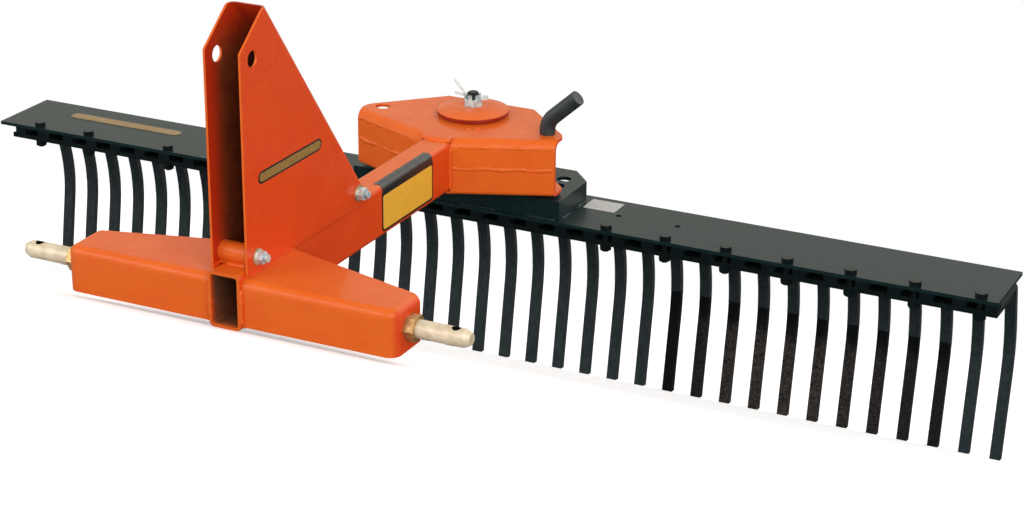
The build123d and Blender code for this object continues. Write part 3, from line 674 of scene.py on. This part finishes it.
scene.camera = camera


# What the part mirrors: colours at shares of the way up the surround, and the floor's shade by level Y
dark_share, dark_colour = 0.155, (0.04, 0.04, 0.04, 1)
warm_share, warm_colour = 0.21, (0.42, 0.35, 0.22, 1)
pale_share, pale_colour = 0.60, (0.55, 0.55, 0.5, 1)
floor_mirror_from, floor_mirror_to = -0.66, -0.46
floor_mirror_pale, floor_mirror_dark = 0.6, 0.04


def world_light(ambient, shown):
    """An even white surround; mirrored in the part it is dark low down, as the ground behind it would be."""
    world = bpy.data.worlds.new("studio")
    world.use_nodes = True
    scene.world = world
    tree = world.node_tree
    path = tree.nodes.new("ShaderNodeLightPath")
    turned = tree.nodes.new("ShaderNodeMapping")
    turned.inputs["Rotation"].default_value = (-tilt, 0, 0)
    split = tree.nodes.new("ShaderNodeSeparateXYZ")
    height = tree.nodes.new("ShaderNodeMapRange")
    height.inputs["From Min"].default_value = -0.5
    height.inputs["From Max"].default_value = 0.5
    mirrored = tree.nodes.new("ShaderNodeValToRGB")
    tree.links.new(tree.nodes.new("ShaderNodeTexCoord").outputs["Generated"], turned.inputs["Vector"])
    tree.links.new(turned.outputs["Vector"], split.inputs["Vector"])
    tree.links.new(split.outputs["Z"], height.inputs["Value"])
    tree.links.new(height.outputs["Result"], mirrored.inputs["Fac"])
    stops = mirrored.color_ramp.elements
    stops[0].position, stops[0].color = dark_share, dark_colour
    stops[1].position, stops[1].color = pale_share, pale_colour
    stops.new(warm_share).color = warm_colour
    shade = (ambient, ambient, ambient, 1)
    seen = (shown, shown, shown, 1)
    for picked, colour in (("Is Glossy Ray", mirrored.outputs["Color"]), ("Is Camera Ray", seen)):
        pick = tree.nodes.new("ShaderNodeMix")
        pick.data_type = "RGBA"
        tree.links.new(path.outputs[picked], pick.inputs["Factor"])
        for name, value in (("A_Color", shade), ("B_Color", colour)):
            socket = [made for made in pick.inputs if made.identifier == name][0]
            if isinstance(value, tuple):
                socket.default_value = value
            else:
                tree.links.new(value, socket)
        shade = [made for made in pick.outputs if made.type == "RGBA"][0]
    tree.links.new(shade, tree.nodes["Background"].inputs["Color"])
    tree.nodes["Background"].inputs["Strength"].default_value = 1.0


def floor(size, glow):
    """A plain pale floor; the camera sees it lifted by glow, so that it meets the white background.

    It casts no shadow, because in the parked frame some lamps stand partly below it.
    """
    mesh = bpy.data.meshes.new("floor")
    half = size / 2
    corners = [(-half, -half, 0), (half, -half, 0), (half, half, 0), (-half, half, 0)]
    mesh.from_pydata(corners, [], [(0, 1, 2, 3)])
    made = bpy.data.objects.new("floor", mesh)
    scene.collection.objects.link(made)
    shade = Shader("floor_paper", (0.9, 0.9, 0.9, 1), 0.95, specular=0.0)
    seen = shade.node("ShaderNodeLightPath").outputs["Is Camera Ray"]
    _, along, _ = shade.level_position()
    ahead = shade.ramp(along, floor_mirror_from, floor_mirror_to, floor_mirror_pale, floor_mirror_dark)
    mirrored = shade.node("ShaderNodeLightPath").outputs["Is Glossy Ray"]
    unseen = shade.blend(mirrored, (0.32, 0.32, 0.32, 1), shade.blend(ahead, (0, 0, 0, 1), white))
    shade.set("Base Color", shade.blend(seen, unseen, (0.97, 0.97, 0.97, 1)))
    shade.shader.inputs["Emission Color"].default_value = white
    shade.set("Emission Strength", shade.math("MULTIPLY", seen, glow))
    mesh.materials.append(shade.material)
    made.visible_shadow = False


def soft_sun(name, toward, spread, strength, color=(1.0, 1.0, 1.0)):
    """A wide soft light from far off; toward is the level way to it, spread its width in degrees."""
    lamp = bpy.data.lights.new(name, "SUN")
    lamp.angle = radians(spread)
    lamp.energy = strength
    lamp.color = color
    made = bpy.data.objects.new(name, lamp)
    made.rotation_mode = "QUATERNION"
    made.rotation_quaternion = (LEVEL.to_3x3() @ Vector(toward)).to_track_quat("Z", "Y")
    scene.collection.objects.link(made)


world_light(0.40, 1.0)
floor(60.0, 0.42)
soft_sun("key", (-0.68, -0.66, 0.32), 50.0, 1.65)
soft_sun("fill", (0.68, -0.62, 0.40), 60.0, 2.6)
soft_sun("back", (-0.45, 0.75, 0.48), 60.0, 0.3, (1.0, 0.92, 0.78))
soft_sun("rim", (0.36, 0.80, 0.48), 50.0, 0.8, (1.0, 0.95, 0.88))

scene.view_settings.view_transform = "Standard"
